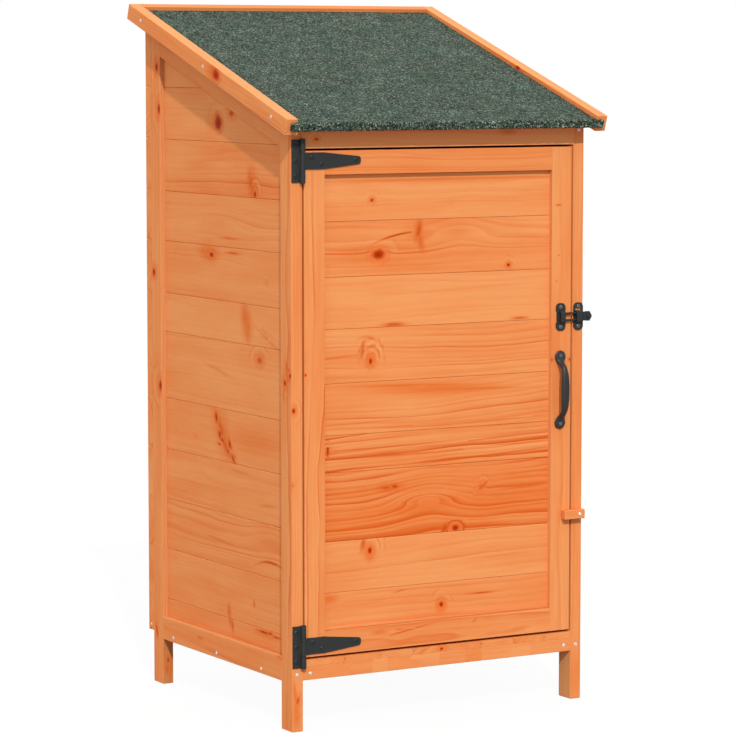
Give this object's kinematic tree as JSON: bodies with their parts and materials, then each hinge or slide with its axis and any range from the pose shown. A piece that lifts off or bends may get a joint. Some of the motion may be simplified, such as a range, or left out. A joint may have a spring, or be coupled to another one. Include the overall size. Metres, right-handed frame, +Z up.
{
  "type": "wooden tool shed",
  "caption": "Small upright wooden tool shed with a felted pent roof, a boarded door on T-hinges, a sliding latch, a pull handle and a turn button.",
  "frame": {"origin": "on the floor, under the middle of the overall box", "axes": "+X to the right seen from the front, +Y to the back (the door is on the -Y side), +Z up"},
  "size_m": [0.566, 0.5336, 1.09],
  "materials": {
    "stained_pine": "satin orange-brown stain on planed softwood",
    "roof_felt": "green-grey mineral felt",
    "black_steel": "black powder coat",
    "black_iron": "black enamel",
    "zinc_screw": "zinc plated"
  },
  "bodies": {
    "shed": {"front_left_post": "stained_pine", "front_right_post": "stained_pine", "back_left_post": "stained_pine", "back_right_post": "stained_pine", "left_wall": "stained_pine", "right_wall": "stained_pine", "back_wall": "stained_pine", "left_skirt": "stained_pine", "right_skirt": "stained_pine", "left_top_rail": "stained_pine", "right_top_rail": "stained_pine", "front_head_rail": "stained_pine", "front_bottom_rail": "stained_pine", "back_bottom_rail": "stained_pine", "floor": "stained_pine", "roof_deck": "stained_pine", "left_barge_board": "stained_pine", "right_barge_board": "stained_pine", "back_fascia": "stained_pine", "roof_felt": "roof_felt", "roof_felt_roll": "roof_felt", "top_hinge_leaf": "black_steel", "bottom_hinge_leaf": "black_steel", "top_hinge_pin": "black_steel", "bottom_hinge_pin": "black_steel", "latch_guide": "black_steel", "turn_button_screw": "zinc_screw"},
    "door": {"door_left_stile": "stained_pine", "door_right_stile": "stained_pine", "door_top_rail": "stained_pine", "door_bottom_rail": "stained_pine", "door_panel": "stained_pine", "top_hinge_strap": "black_steel", "bottom_hinge_strap": "black_steel", "latch_keeper": "black_steel", "door_handle": "black_iron"},
    "bolt": {"latch_bolt": "black_steel"},
    "button": {"turn_button": "stained_pine"}
  },
  "joints": [
    {"name": "door_hinge", "type": "hinge", "parent": "shed", "child": "door", "pos_m": [-0.2415, -0.23626, 0.545], "axis": [0, 0, -1], "range_deg": [0, 170]},
    {"name": "latch_slide", "type": "slide", "parent": "shed", "child": "bolt", "axis": [1, 0, 0], "range_m": [0, 0.029]},
    {"name": "button_turn", "type": "hinge", "parent": "shed", "child": "button", "pos_m": [0.2485, -0.23846, 0.2946], "axis": [0, -1, 0], "range_deg": [0, 90]}
  ]
}
